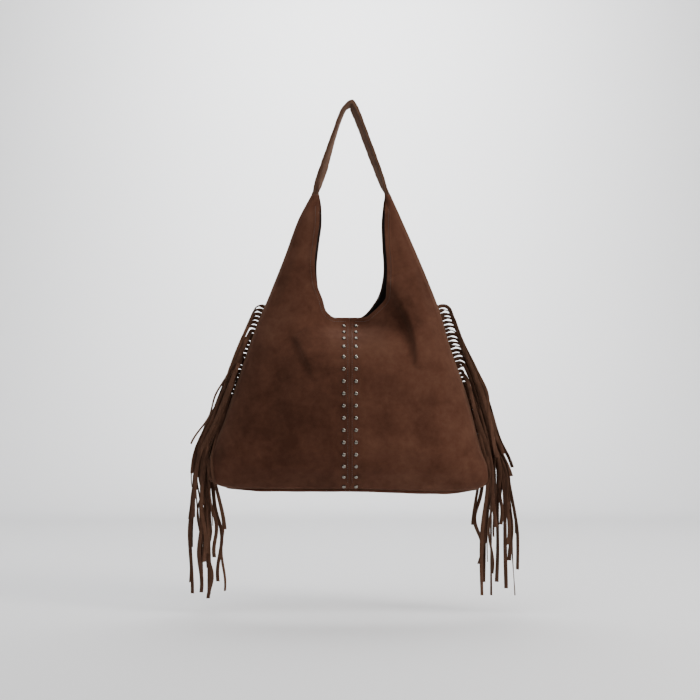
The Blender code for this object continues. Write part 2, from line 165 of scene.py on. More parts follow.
@dataclass(frozen=True)
class Pattern:
    """The bag's outlines: the same driving curves as the frame's solids."""

    side_seam: dict[Side, Curve]
    mouth_edge: dict[tuple[Face, Side], Curve]
    fullness: Curve
    centre_depth: Curve
    swell_width: Curve
    swell_power: Curve
    pinch_reach: float = 48.0
    tip_closing: float = 22.0

    def base_seam(self, x: np.ndarray) -> np.ndarray:
        """Height of the seam between a panel and the base, which sags a little to the right."""
        return SEAM_Z - 4.0 * ease(x / 150.0) * ease((230.0 - x) / 60.0)

    def depth(self, x: np.ndarray, z: np.ndarray, side: Side) -> np.ndarray:
        """How far a panel swells out from its side seam's face.

        Args:
            x: distance from the centre line, positive.
            z: height.
            side: which half.

        Returns:
            The depth, without creases.
        """
        edge = self.side_seam[side](z)
        power = self.swell_power(z)
        reach = np.clip((edge - x) / self.swell_width(z), 0.0, 1.0)
        swell = (1 - (1 - reach) ** power) ** (1 / power)
        full = self.fullness(z) * swell
        pinch = np.exp(-((x / self.pinch_reach) ** 2)) * ease((-250 - z) / 60)
        pinched = (self.centre_depth(z) - self.fullness(z)) * pinch
        full = full + np.where(z > PINCH_LOW_Z, pinched, 0.0)
        near_tip = np.exp(-(((TIP_Z - z) / self.tip_closing) ** 2))
        across = np.clip((edge - x) / 14.0, 0.0, 1.0)
        return full * (1 - 0.8 * near_tip * across**3)


def bag_pattern() -> Pattern:
    """Gives the outlines that the frame's solids were made from.

    Returns:
        The bag's pattern.
    """
    return Pattern(
        side_seam={
            Side.LEFT: Curve([
                (-141, 62), (-181, 83), (-238, 104), (-296, 127), (-355, 151), (-420, 174),
                (-495, 199), (-581, 227), (-591, 226), (-599, 220), (-604, 211), (-608, 198),
            ]),
            Side.RIGHT: Curve([
                (-141, 65), (-181, 83), (-238, 108), (-296, 132), (-326, 143), (-384, 160),
                (-456, 185), (-544, 209), (-588, 224), (-596, 223.5), (-603, 218), (-608, 206),
            ]),
        },
        mouth_edge={
            (Face.FRONT, Side.LEFT): Curve([
                (-141, 49.5), (-161, 48.6), (-181, 48.6), (-219, 53), (-250, 56), (-277, 54),
                (-290, 50.5), (-308, 43.5), (-325, 38.6), (-331, 34), (-335, 29), (-337, 25),
            ]),
            (Face.FRONT, Side.RIGHT): Curve([
                (-141, 57.5), (-162, 56), (-190, 55), (-219, 56), (-258, 58.6), (-290, 57.6),
                (-304, 56.8), (-309, 55), (-315, 50), (-324, 41), (-331, 33), (-335, 28),
                (-337, 23),
            ]),
            (Face.BACK, Side.LEFT): Curve([
                (-141, 49), (-161, 45.8), (-181, 45.4), (-219, 49.9), (-258, 53.6), (-286, 51.8),
                (-306, 45), (-325, 40.5), (-331, 36), (-335, 31), (-337, 27),
            ]),
            (Face.BACK, Side.RIGHT): Curve([
                (-141, 55.7), (-162, 52.6), (-190, 50.7), (-219, 51.8), (-258, 54.1),
                (-286, 50.7), (-306, 43.7), (-315, 37.8), (-325, 30.6), (-334, 21.3), (-337, 16),
            ]),
        },
        fullness=Curve([
            (-141, 11), (-181, 16), (-240, 22), (-300, 32), (-337, 42), (-360, 50), (-385, 59),
            (-410, 66), (-440, 70), (-545, 70), (-572, 64), (-592, 53), (-608, 42),
        ]),
        centre_depth=Curve([
            (-337, 6.2), (-343, 6.8), (-350.4, 10), (-361, 26), (-370, 41), (-382, 55),
            (-397, 66), (-410, 69), (-440, 70),
        ]),
        swell_width=Curve([
            (-141, 13), (-181, 36), (-240, 52), (-280, 76), (-310, 112), (-337, 140),
            (-400, 165), (-500, 198), (-608, 205),
        ]),
        swell_power=Curve([(-141, 2.0), (-400, 2.2), (-540, 2.6), (-608, 3.2)]),
    )


PATTERN = bag_pattern()


def sagged(x: np.ndarray, z: np.ndarray | float, lift: float = 0.0) -> np.ndarray:
    """Lowers a nominal height near the base, where rows follow the sagging base seam.

    Args:
        x: place across, to the right.
        z: nominal height.
        lift: raises the lowest row by this much.

    Returns:
        The real height.
    """
    low = ease((LOW_Z - z) / (LOW_Z - SEAM_Z))
    return z + (PATTERN.base_seam(x) - SEAM_Z + lift) * low


# ---------------------------------------------------------------- materials


def linear(colour: str) -> tuple[float, float, float, float]:
    """Turns an sRGB hex colour to linear light.

    Args:
        colour: such as "#4a2e20".

    Returns:
        Red, green, blue and an alpha of 1.
    """
    parts = [int(colour[i:i + 2], 16) / 255 for i in (1, 3, 5)]
    rgb = [p / 12.92 if p <= 0.04045 else ((p + 0.055) / 1.055) ** 2.4 for p in parts]
    return (*rgb, 1.0)


def node(tree: bpy.types.NodeTree, kind: str, settings: dict | None = None, **links) -> bpy.types.Node:
    """Adds a shader node, sets it up and links its inputs.

    Args:
        tree: the material's node tree.
        kind: the node's type name without "ShaderNode".
        settings: attributes of the node, or its inputs by name or number.
        **links: input names, with _ for spaces, or in_0 for the first, to output sockets.

    Returns:
        The node.
    """
    made = tree.nodes.new("ShaderNode" + kind)
    for key, value in (settings or {}).items():
        if isinstance(key, int) or key in made.inputs:
            made.inputs[key].default_value = value
        else:
            setattr(made, key, value)
    for key, socket in links.items():
        target = int(key[3:]) if key.startswith("in_") else key.replace("_", " ")
        tree.links.new(socket, made.inputs[target])
    return made


def ramp(tree: bpy.types.NodeTree, factor: bpy.types.NodeSocket,
         stops: list[tuple[float, str]]) -> bpy.types.NodeSocket:
    """Adds a colour ramp.

    Args:
        tree: the material's node tree.
        factor: what drives the ramp.
        stops: (place, sRGB hex) pairs.

    Returns:
        The ramp's colour output.
    """
    made = node(tree, "ValToRGB", Fac=factor)
    elements = made.color_ramp.elements
    while len(elements) < len(stops):
        elements.new(0.5)
    for element, (place, colour) in zip(elements, stops):
        element.position = place
        element.color = linear(colour)
    return made.outputs["Color"]


def fresh(name: str) -> tuple[bpy.types.Material, bpy.types.NodeTree, bpy.types.Node]:
    """Makes an empty Principled material.

    Args:
        name: the material's name.

    Returns:
        The material, its tree and its shader.
    """
    material = bpy.data.materials.new(name)
    material.use_nodes = True
    tree = material.node_tree
    return material, tree, tree.nodes["Principled BSDF"]


def noise(tree: bpy.types.NodeTree, place: bpy.types.NodeSocket, size_mm: float, detail: float,
          **settings: float) -> bpy.types.NodeSocket:
    """Adds a noise whose features are about size_mm across.

    Args:
        tree: the material's node tree.
        place: where on the piece, in metres.
        size_mm: the features' size.
        detail: how many finer layers it has.
        **settings: other inputs by name.

    Returns:
        The noise's output.
    """
    made = node(tree, "TexNoise", {"Scale": 1000 / size_mm, "Detail": detail, **settings},
                Vector=place)
    return made.outputs["Fac"]


def emboss(tree: bpy.types.NodeTree, shader: bpy.types.Node, height: bpy.types.NodeSocket,
           strength: float, depth: float) -> None:
    """Lets a height pattern tilt the surface.

    Args:
        tree: the material's node tree.
        shader: its shader.
        height: the pattern.
        strength: how much of it shows.
        depth: its full height in metres.
    """
    relief = node(tree, "Bump", {"Strength": strength, "Distance": depth}, Height=height)
    tree.links.new(relief.outputs["Normal"], shader.inputs["Normal"])


def surface(shader: bpy.types.Node, roughness: float, **values: float) -> None:
    """Sets a shader's plain inputs.

    Args:
        shader: the shader.
        roughness: its roughness.
        **values: other inputs by name, with _ for spaces.
    """
    shader.inputs["Roughness"].default_value = roughness
    for key, value in values.items():
        shader.inputs[key.replace("_", " ")].default_value = value


@dataclass(frozen=True)
class Suede:
    """Split cowhide, buffed to a short nap.

    The buffed fibres scatter light at every angle, so there is no gloss. Where the nap lies
    one way or the other it looks lighter or darker, in soft patches a few centimetres
    across, and the fibre ends give a fine speckle.

    Attributes:
        lengthwise: under 1, draws the patches out along the height, as on a cut lace.
        painted_shade: the middle of a spot of painted shade, in metres, darkened in place of shade.
        painted_shade_reach: how far that painted shade reaches.
        painted_shade_depth: how far down the colour ramp it goes.
    """

    name: str = "suede_brown"
    dark: str = "#341b10"
    middle: str = "#482b1f"
    light: str = "#573a2c"
    nap_patch_mm: float = 45.0
    lengthwise: float = 1.0
    scuff_mm: float = 9.0
    fibre_mm: float = 0.9
    sheen: float = 0.35
    nap_tint: str = "#b39078"
    bump: float = 0.35
    painted_shade: tuple[float, float, float] = (0.0, 0.0, 0.0)
    painted_shade_reach: float = 0.19
    painted_shade_depth: float = 0.0

    def build(self) -> bpy.types.Material:
        """Makes the material.

        Returns:
            The suede.
        """
        material, tree, shader = fresh(self.name)
        place = node(tree, "TexCoord").outputs["Object"]
        lying = node(tree, "Mapping", {"Scale": (1.0, 1.0, self.lengthwise)}, Vector=place)
        patch = noise(tree, lying.outputs["Vector"], self.nap_patch_mm, 3.0, Roughness=0.55,
                      Distortion=0.3)
        scuff = noise(tree, place, self.scuff_mm, 4.0, Roughness=0.6)
        fibre = noise(tree, place, self.fibre_mm, 2.0, Roughness=0.7)
        soft = node(tree, "Mix", {0: 0.35}, in_2=patch, in_3=scuff)
        mixed = node(tree, "Mix", {0: 0.22}, in_2=soft.outputs[0], in_3=fibre)
        # Painted shade: the colour is pulled darker near a given spot, in place of the shade that the
        # light leaves there.
        away = node(tree, "VectorMath", {"operation": "DISTANCE", 1: self.painted_shade}, in_0=place)
        painted_shade_amount = node(tree, "MapRange", {"interpolation_type": "SMOOTHSTEP", "From Min": 0.0,
                                      "From Max": self.painted_shade_reach, "To Min": self.painted_shade_depth,
                                      "To Max": 0.0}, Value=away.outputs["Value"])
        level = node(tree, "Math", {"operation": "SUBTRACT"}, in_0=mixed.outputs[0],
                     in_1=painted_shade_amount.outputs["Result"])
        colour = ramp(tree, level.outputs[0],
                      [(0.28, self.dark), (0.5, self.middle), (0.74, self.light)])
        tree.links.new(colour, shader.inputs["Base Color"])
        height = node(tree, "Mix", {0: 0.7}, in_2=scuff, in_3=fibre)
        emboss(tree, shader, height.outputs[0], self.bump, 0.0006)
        surface(shader, 0.95, Specular_IOR_Level=0.15, Sheen_Weight=self.sheen,
                Sheen_Roughness=0.45, Sheen_Tint=linear(self.nap_tint))
        return material


@dataclass(frozen=True)
class LiningCloth:
    """Plain-woven polyester lining: near-black brown, with a faint thread grid."""

    thread_mm: float = 0.8
    dark: str = "#130c09"
    light: str = "#211611"

    def build(self) -> bpy.types.Material:
        """Makes the material.

        Returns:
            The lining cloth.
        """
        material, tree, shader = fresh("lining_cloth")
        place = node(tree, "TexCoord").outputs["Object"]
        warp, weft = (
            node(tree, "TexWave", {"Scale": 50 / self.thread_mm, "wave_type": "BANDS",
                                   "bands_direction": way, "Distortion": 0.4}, Vector=place)
            for way in ("X", "Z")
        )
        cross = node(tree, "Math", {"operation": "MULTIPLY"}, in_0=warp.outputs["Fac"],
                     in_1=weft.outputs["Fac"])
        colour = ramp(tree, cross.outputs[0], [(0.0, self.dark), (1.0, self.light)])
        tree.links.new(colour, shader.inputs["Base Color"])
        emboss(tree, shader, cross.outputs[0], 0.3, 0.0003)
        surface(shader, 0.8, Specular_IOR_Level=0.2)
        return material


@dataclass(frozen=True)
class Nickel:
    """Barrel-polished nickel plate: a bright mirror with fine haze and tiny knocks."""

    # The colour is darker than bare nickel: painted shade, in place of the dark room that the domes
    # would reflect.
    colour: str = "#7d7972"
    knock_mm: float = 0.7

    def build(self) -> bpy.types.Material:
        """Makes the material.

        Returns:
            The nickel.
        """
        material, tree, shader = fresh("polished_nickel")
        place = node(tree, "TexCoord").outputs["Object"]
        haze = noise(tree, place, self.knock_mm, 2.0)
        rough = node(tree, "MapRange", {"To Min": 0.12, "To Max": 0.28}, Value=haze)
        tree.links.new(rough.outputs["Result"], shader.inputs["Roughness"])
        emboss(tree, shader, haze, 0.08, 0.0001)
        shader.inputs["Base Color"].default_value = linear(self.colour)
        shader.inputs["Metallic"].default_value = 1.0
        return material


@dataclass(frozen=True)
class Thread:
    """Twisted polyester sewing thread, a little darker than the suede, with a soft lustre."""

    dark: str = "#2b1b14"
    light: str = "#3d281e"
    twist_mm: float = 0.9

    def build(self) -> bpy.types.Material:
        """Makes the material.

        Returns:
            The thread.
        """
        material, tree, shader = fresh("polyester_thread")
        place = node(tree, "TexCoord").outputs["Object"]
        ply = noise(tree, place, self.twist_mm, 1.0)
        colour = ramp(tree, ply, [(0.35, self.dark), (0.65, self.light)])
        tree.links.new(colour, shader.inputs["Base Color"])
        surface(shader, 0.55, Sheen_Weight=0.2)
        return material


@dataclass(frozen=True)
class Fibreboard:
    """Pressed grey fibreboard, with specks of unpulped fibre."""

    speck_mm: float = 1.5
    dark: str = "#4b4742"
    light: str = "#6d6861"

    def build(self) -> bpy.types.Material:
        """Makes the material.

        Returns:
            The board.
        """
        material, tree, shader = fresh("fibreboard")
        place = node(tree, "TexCoord").outputs["Object"]
        speck = noise(tree, place, self.speck_mm, 3.0)
        colour = ramp(tree, speck, [(0.35, self.dark), (0.65, self.light)])
        tree.links.new(colour, shader.inputs["Base Color"])
        surface(shader, 0.9)
        return material


@dataclass(frozen=True)
class Backdrop:
    """Matt paper or card, with a faint tooth."""

    name: str = "background_paper"
    colour: str = "#e6e7e9"
    tooth_mm: float = 1.11

    def build(self) -> bpy.types.Material:
        """Makes the material.

        Returns:
            The paper.
        """
        material, tree, shader = fresh(self.name)
        place = node(tree, "TexCoord").outputs["Object"]
        emboss(tree, shader, noise(tree, place, self.tooth_mm, 2.0), 0.05, 0.0003)
        surface(shader, 0.9, Specular_IOR_Level=0.1, Base_Color=linear(self.colour))
        return material


# ---------------------------------------------------------------- meshes


@dataclass
class Mesher:
    """Collects points in millimetres and faces, and makes them one object."""

    points: list = field(default_factory=list)
    faces: list = field(default_factory=list)

    def add(self, points: list, faces: list) -> int:
        """Adds a shape whose faces number its own points.

        Args:
            points: the shape's points.
            faces: its faces.

        Returns:
            The number of its first point.
        """
        start = len(self.points)
        self.points += [tuple(float(c) for c in p) for p in points]
        self.faces += [tuple(i + start for i in f) for f in faces]
        return start

    def tube(self, rings: np.ndarray, capped: bool = True) -> int:
        """Adds a skin over a row of rings.

        Args:
            rings: rings by corners by 3.
            capped: closes both ends.

        Returns:
            The number of its first point.
        """
        count, corners = rings.shape[:2]
        faces = []
        for r in range(count - 1):
            for j in range(corners):
                k = (j + 1) % corners
                a, b = r * corners, (r + 1) * corners
                faces.append((a + j, a + k, b + k, b + j))
        if capped:
            faces.append(tuple(reversed(range(corners))))
            faces.append(tuple(range((count - 1) * corners, count * corners)))
        return self.add(rings.reshape(-1, 3), faces)

    def make(self, name: str, finish: bpy.types.Material, closed: bool = True,
             weld: float = 0.0, sharp: float = 40.0) -> bpy.types.Object:
        """Makes the object.

        Args:
            name: its name.
            finish: its material.
            closed: turns all faces outwards, for a shape with no open edge.
            weld: joins points nearer than this.
            sharp: the angle in degrees past which an edge is shaded sharp.

        Returns:
            The object, in place.
        """
        mesh = bpy.data.meshes.new(name)
        mesh.from_pydata([(x * MM, y * MM, z * MM) for x, y, z in self.points], [], self.faces)
        shape = bmesh.new()
        shape.from_mesh(mesh)
        if weld:
            bmesh.ops.remove_doubles(shape, verts=shape.verts, dist=weld * MM)
        if closed:
            bmesh.ops.recalc_face_normals(shape, faces=shape.faces)
        shape.to_mesh(mesh)
        shape.free()
        mesh.shade_smooth()
        mesh.set_sharp_from_angle(angle=math.radians(sharp))
        mesh.materials.append(finish)
        thing = bpy.data.objects.new(name, mesh)
        bpy.context.scene.collection.objects.link(thing)
        return thing


def place_piece(thing: bpy.types.Object, slot: str, *nodes: str) -> bpy.types.Object:
    """Lets a piece ride on the bag, standing for frame nodes.

    Args:
        thing: the piece.
        slot: not used.
        *nodes: the frame nodes that it stands for.

    Returns:
        The piece.
    """
    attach(thing, BODY)
    if nodes:
        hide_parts(*nodes)
    LOG.info("%s: %d faces", thing.name, len(thing.data.polygons))
    return thing


def thicken(thing: bpy.types.Object, thickness: float) -> None:
    """Gives a skin its thickness in millimetres, inwards."""
    solid = thing.modifiers.new("thickness", "SOLIDIFY")
    solid.thickness = thickness * MM
    solid.offset = -1.0


# ---------------------------------------------------------------- skins


@dataclass(frozen=True)
class Fold:
    """A crease in the suede: right of its line a ridge stands proud, left of it a valley sinks.

    Attributes:
        line: (x, z) points of the fold's foot, x to the right of the centre.
        height: how far the proud side stands out.
        width: how wide the step is at the line's start and at its end.
        fade: how far behind the step the swelling dies away.
    """

    line: tuple[tuple[float, float], ...]
    height: float
    width: tuple[float, float]
    fade: float

    def relief(self, x: np.ndarray, z: np.ndarray) -> np.ndarray:
        """Gives the fold's height over the panel.

        Args:
            x: places across, to the right.
            z: heights.

        Returns:
            How far the skin moves outwards.
        """
        best = np.full(x.shape, 1e9)
        signed = np.zeros(x.shape)
        along = np.zeros(x.shape)
        pieces = len(self.line) - 1
        for i, (a, b) in enumerate(zip(self.line, self.line[1:])):
            dx, dz = b[0] - a[0], b[1] - a[1]
            size = math.hypot(dx, dz)
            t = np.clip(((x - a[0]) * dx + (z - a[1]) * dz) / size**2, 0, 1)
            px, pz = x - a[0] - t * dx, z - a[1] - t * dz
            away = np.hypot(px, pz)
            near = away < best
            best = np.where(near, away, best)
            signed = np.where(near, (px * -dz + pz * dx) / size, signed)
            along = np.where(near, (i + t) / pieces, along)
        width = self.width[0] + (self.width[1] - self.width[0]) * along
        step = np.tanh(signed / width) * np.where(signed > 0, 1.0, 0.8)
        behind = np.exp(-np.abs(signed) / self.fade)
        beyond = np.sqrt(np.clip(best**2 - signed**2, 0, None))
        ends = np.sin(math.pi * np.clip(along, 0.0, 1.0) ** 0.72) ** 0.7
        ends = ends * np.exp(-((beyond / 18) ** 2))
        return self.height * step * behind * ends


@dataclass(frozen=True)
class Bulge:
    """A soft swelling or hollow of the suede, longer one way than the other."""

    x: float
    z: float
    height: float
    long: float
    wide: float
    lean: float

    def relief(self, x: np.ndarray, z: np.ndarray) -> np.ndarray:
        """Gives the swelling's height over the panel.

        Args:
            x: places across, to the right.
            z: heights.

        Returns:
            How far the skin moves outwards.
        """
        angle = math.radians(self.lean)
        u = (x - self.x) * math.sin(angle) + (z - self.z) * math.cos(angle)
        v = (x - self.x) * math.cos(angle) - (z - self.z) * math.sin(angle)
        return self.height * np.exp(-((u / self.long) ** 2) - ((v / self.wide) ** 2))


@dataclass
class Skin:
    """The shape of the bag's suede: swelling, folds, seams and hems.

    Attributes:
        folds: the creases pressed into the front.
        bulges: the soft swellings and hollows of the front.
    """

    folds: tuple[Fold, ...] = (
        Fold(((55, -280), (67, -307), (81, -331), (92, -354), (99, -380), (103, -422)),
             19.0, (13.0, 5.5), 32.0),
        Fold(((-90, -366), (-78, -390), (-66, -414), (-60, -436)), 6.0, (4.5, 4.5), 22.0),
    )
    bulges: tuple[Bulge, ...] = (
        Bulge(-72, -378, 3.0, 26, 15, -20),
        Bulge(60, -372, 3.5, 30, 16, 10),
        Bulge(150, -440, 4.0, 70, 16, 20),
        Bulge(-120, -470, -3.0, 80, 24, 14),
        Bulge(96, -520, -2.5, 60, 30, -8),
        Bulge(-48, -530, 2.0, 50, 26, 6),
        Bulge(-90, -250, 2.0, 60, 9, 20),
        Bulge(92, -240, 2.5, 70, 9, -22),
    )

    hem_width: float = 8.0
    hem_rise: float = 0.7

    def point(self, x: np.ndarray, z: np.ndarray, side: Side, face: Face) -> np.ndarray:
        """Gives the depth of the finished skin, creases and seams and all.

        Args:
            x: distance from the centre line, positive.
            z: nominal height, before the base seam's sag.
            side: which half.
            face: front or back.

        Returns:
            How far the outer face stands from the middle plane.
        """
        depth = SIDE_SEAM_HALF + PATTERN.depth(x, z, side)
        signed = side.value * x * (1 if face is Face.FRONT else -1)
        edge = PATTERN.side_seam[side](z)
        inside = ease((edge - x) / 26.0)
        low = ease((z - SEAM_Z) / 30.0)
        relief = 1.5 * waves(signed, z, 150, 3 if face is Face.FRONT else 8)
        relief = relief + 0.7 * waves(signed, z, 62, 5 if face is Face.FRONT else 9)
        relief = relief * ease((-z - 150) / 120)
        if face is Face.FRONT:
            for shape in self.folds + self.bulges:
                relief = relief + shape.relief(signed, z)
        else:
            for shape in self.bulges[3:]:
                relief = relief + shape.relief(signed, z)
        depth = depth + relief * inside * low
        return depth + self.seam_relief(x, z, side, face)

    def seam_relief(self, x: np.ndarray, z: np.ndarray, side: Side, face: Face) -> np.ndarray:
        """Gives the small relief of seams and hems.

        Args:
            x: distance from the centre line, positive.
            z: height.
            side: which half.
            face: front or back.

        Returns:
            How far the skin moves outwards.
        """
        relief = np.zeros(np.broadcast(x, z).shape)
        if face is Face.FRONT:
            turned = 0.45 * ease((x - 0.4) / 1.6) * (1 - ease((x - 6.0) / 3.0))
            relief = relief + turned - 0.25 * np.exp(-((x / 0.8) ** 2))
            stitch_line = np.exp(-(((x - CENTRE_STITCH_X) / 0.7) ** 2))
            relief = relief - 0.15 * stitch_line
            pucker = np.sin(z / 2.6 + 1.7 * np.sin(z / 17.0)) * np.exp(-((x / 9.0) ** 2))
            relief = relief + 0.10 * pucker
        from_mouth = self.mouth_distance(x, z, side, face)
        hem = 1 - ease((from_mouth - self.hem_width) / 1.6)
        relief = relief + self.hem_rise * hem
        relief = relief - 0.45 * np.exp(-(((from_mouth - self.hem_width + 1.6) / 0.8) ** 2))
        ripple = np.sin(z / 3.1) * np.exp(-((from_mouth - self.hem_width) / 7.0) ** 2)
        relief = relief + 0.12 * ripple
        edge = PATTERN.side_seam[side](z)
        off = edge - x
        relief = relief + 0.9 * np.exp(-(((off - 6.5) / 3.0) ** 2)) * ease((-z - 165) / 40)
        pull = np.sin(z / 2.2) * np.exp(-((off / 3.5) ** 2)) * ease((-z - 300) / 30)
        relief = relief + 0.45 * pull
        above = z - SEAM_Z
        relief = relief - 1.0 * np.exp(-((above / 1.6) ** 2))
        relief = relief + 0.25 * np.sin(x / 2.9) * np.exp(-((above / 7.0) ** 2))
        return relief

    def mouth_distance(self, x: np.ndarray, z: np.ndarray, side: Side, face: Face) -> np.ndarray:
        """Gives the distance from the mouth's edge, over the skin seen flat.

        Args:
            x: distance from the centre line, positive.
            z: height.
            side: which half.
            face: front or back.

        Returns:
            The distance.
        """
        curve = PATTERN.mouth_edge[face, side]
        heights = np.concatenate([np.linspace(-337, -300, 40), np.linspace(-298, -141, 40)])
        xs = curve(heights)
        corner = float(curve(MOUTH_Z))
        xs = np.concatenate([np.linspace(0, corner, 8), xs])
        heights = np.concatenate([np.full(8, MOUTH_Z), heights])
        best = np.full(np.broadcast(x, z).shape, 1e9)
        for px, pz in zip(xs, heights):
            best = np.minimum(best, (x - px) ** 2 + (z - pz) ** 2)
        return np.sqrt(best)


@dataclass
class PanelGrid:
    """Rows and columns over one half of a face: body rows below the mouth, horn rows above."""

    face: Face
    side: Side
    skin: Skin
    body_rows: int = 130
    horn_rows: int = 104
    horn_columns: int = 84
    mouth_columns: int = 26

    def heights(self) -> tuple[np.ndarray, np.ndarray]:
        """Gives the rows' nominal heights, in the body and in the horn."""
        t = np.linspace(0, 1, self.body_rows + 1)
        body = SEAM_Z + (MOUTH_Z - SEAM_Z) * (t - 0.08 * np.sin(2 * math.pi * t))
        u = np.linspace(0, 1, self.horn_rows + 1)[1:]
        horn = MOUTH_Z + (TIP_Z - MOUTH_Z) * u**1.45
        return body, horn

    def columns(self, z: float) -> np.ndarray:
        """Gives the columns' distances from the centre line in one row, side seam first.

        Args:
            z: the row's nominal height.

        Returns:
            The distances.
        """
        edge = float(PATTERN.side_seam[self.side](z))
        corner = float(PATTERN.mouth_edge[self.face, self.side](max(z, MOUTH_Z)))
        if z < MOUTH_Z:
            corner *= 1 - 0.35 * float(ease((MOUTH_Z - z) / 120))
        i = np.linspace(0, 1, self.horn_columns + 1)
        horn = edge + (corner - edge) * i**1.5
        if z > MOUTH_Z + 0.001:
            return horn
        return np.concatenate([horn, corner * (1 - np.linspace(0, 1, self.mouth_columns + 1)[1:])])

    def rows(self) -> list[np.ndarray]:
        """Gives the points row by row.

        Returns:
            One array of points per row, in millimetres.
        """
        body, horn = self.heights()
        made = []
        for z in np.concatenate([body, horn]):
            x = self.columns(float(z))
            depth = self.skin.point(x, np.full(x.shape, z), self.side, self.face)
            height = sagged(self.side.value * x, z)
            made.append(np.stack([self.side.value * x, self.face.value * depth, height], axis=1))
        return made

    def faces(self, rows: list[np.ndarray], flip: bool) -> list[tuple[int, ...]]:
        """Gives the quads between the rows.

        Args:
            rows: the rows of points.
            flip: turns the quads over.

        Returns:
            The quads, numbered from the first row's first point.
        """
        made, offset = [], 0
        for low, high in zip(rows, rows[1:]):
            above = offset + len(low)
            for c in range(min(len(low), len(high)) - 1):
                a, b = offset + c, above + c
                made.append((a, b, b + 1, a + 1) if flip else (a, a + 1, b + 1, b))
            offset = above
        return made


@dataclass
class Panels:
    """The outer suede skins: two front halves and the back."""

    skin: Skin
    suede: bpy.types.Material
    front_suedes: dict[Side, bpy.types.Material]
    seam_gap: float = 0.06

    def build(self) -> None:
        for side in Side:
            grid = PanelGrid(Face.FRONT, side, self.skin)
            rows = grid.rows()
            for row in rows:
                row[:, 0] = side.value * np.maximum(np.abs(row[:, 0]), self.seam_gap)
            mesher = Mesher()
            mesher.add(np.concatenate(rows), grid.faces(rows, side is Side.RIGHT))
            # The front halves take the suede copies with painted shade.
            thing = mesher.make(f"front_{side.word}_suede", self.front_suedes[side], closed=False)
            thicken(thing, SUEDE_THICK)
            place_piece(thing, "suede", f"front_{side.word}_panel")
        mesher = Mesher()
        for side in Side:
            grid = PanelGrid(Face.BACK, side, self.skin, body_rows=100, horn_rows=80,
                             horn_columns=60, mouth_columns=18)
            rows = grid.rows()
            mesher.add(np.concatenate(rows), grid.faces(rows, side is Side.LEFT))
        thing = mesher.make("back_suede", self.suede, closed=False, weld=0.02)
        thicken(thing, SUEDE_THICK)
        place_piece(thing, "suede", "back_panel")


@dataclass
class SideSeams:
    """The turned seam allowances that fill each side seam between the front and the back."""

    suede: bpy.types.Material
    depth: float = 7.0
    half: float = 1.62

    def build(self) -> None:
        """Makes both seams' fillings."""
        for side in Side:
            edge = PATTERN.side_seam[side]
            rings = []
            for z in np.linspace(-143, -604, 160):
                out = float(edge(z)) - 0.25 + 0.2 * math.sin(z / 2.6)
                inner = out - self.depth * float(ease((-141 - z) / 8) * 0.8 + 0.2)
                rings.append([
                    (side.value * x, y, z)
                    for x, y in ((inner, -0.6), (out - 1.0, -self.half), (out, -self.half * 0.55),
                                 (out, self.half * 0.55), (out - 1.0, self.half), (inner, 0.6))
                ])
            mesher = Mesher()
            mesher.tube(np.array(rings))
            place_piece(mesher.make(f"side_seam_{side.word}", self.suede), "suede")


@dataclass
class Lining:
    """The dark inner bag, a little inside the suede, with its turned top edge along the mouth."""

    skin: Skin
    cloth: bpy.types.Material
    top: float = -160.0
    gap: float = 0.9
    lift: float = 3.7
    thickness: float = 0.8

    def rows(self, face: Face, side: Side) -> list[np.ndarray]:
        """Gives one quarter of the lining, row by row from the base.

        Args:
            face: front or back.
            side: which half.

        Returns:
            One array of points per row.
        """
        grid = PanelGrid(face, side, self.skin, body_rows=64, horn_rows=60, horn_columns=44,
                         mouth_columns=14)
        body, horn = grid.heights()
        made = []
        for z in np.concatenate([body, horn]):
            if z > self.top:
                break
            edge = float(PATTERN.side_seam[side](z))
            inset = 3.5 + 6.5 * float(ease((-270 - z) / 40))
            place = grid.columns(float(z))
            count = grid.horn_columns + 1
            inner = place[count - 1] + (1.2 if z > MOUTH_Z + 0.001 else 0.0)
            x = place.copy()
            x[:count] = inner + (place[:count] - place[count - 1]) * (edge - inset - inner) / (
                edge - place[count - 1])
            heights = np.full(x.shape, z)
            near = [
                self.skin.point(np.maximum(place + dx, 0), heights + dz, side, face)
                for dx in (-6, 0, 6) for dz in (-8, 0, 8)
            ]
            depth = np.min(near, axis=0) - SUEDE_THICK - self.gap
            depth = np.maximum(depth, 0.4)
            depth[0] = 0.0
            height = sagged(side.value * x, z, self.lift)
            if z > MOUTH_Z - 1:
                height = height - 1.2
            made.append(np.stack([side.value * x, face.value * depth, height], axis=1))
        return made

    def build(self) -> None:
        """Makes the lining."""
        mesher = Mesher()
        for side in Side:
            grid = PanelGrid(Face.FRONT, side, self.skin)
            halves = {face: self.rows(face, side) for face in Face}
            for face, rows in halves.items():
                flip = (side is Side.RIGHT) == (face is Face.FRONT)
                mesher.add(np.concatenate(rows), grid.faces(rows, flip))
            low = [halves[Face.FRONT][0], halves[Face.BACK][0]]
            mesher.add(np.concatenate(low), grid.faces(low, side is Side.LEFT))
        thing = mesher.make("lining_cloth", self.cloth, closed=False, weld=0.02)
        thicken(thing, self.thickness)
        place_piece(thing, "lining", "lining")


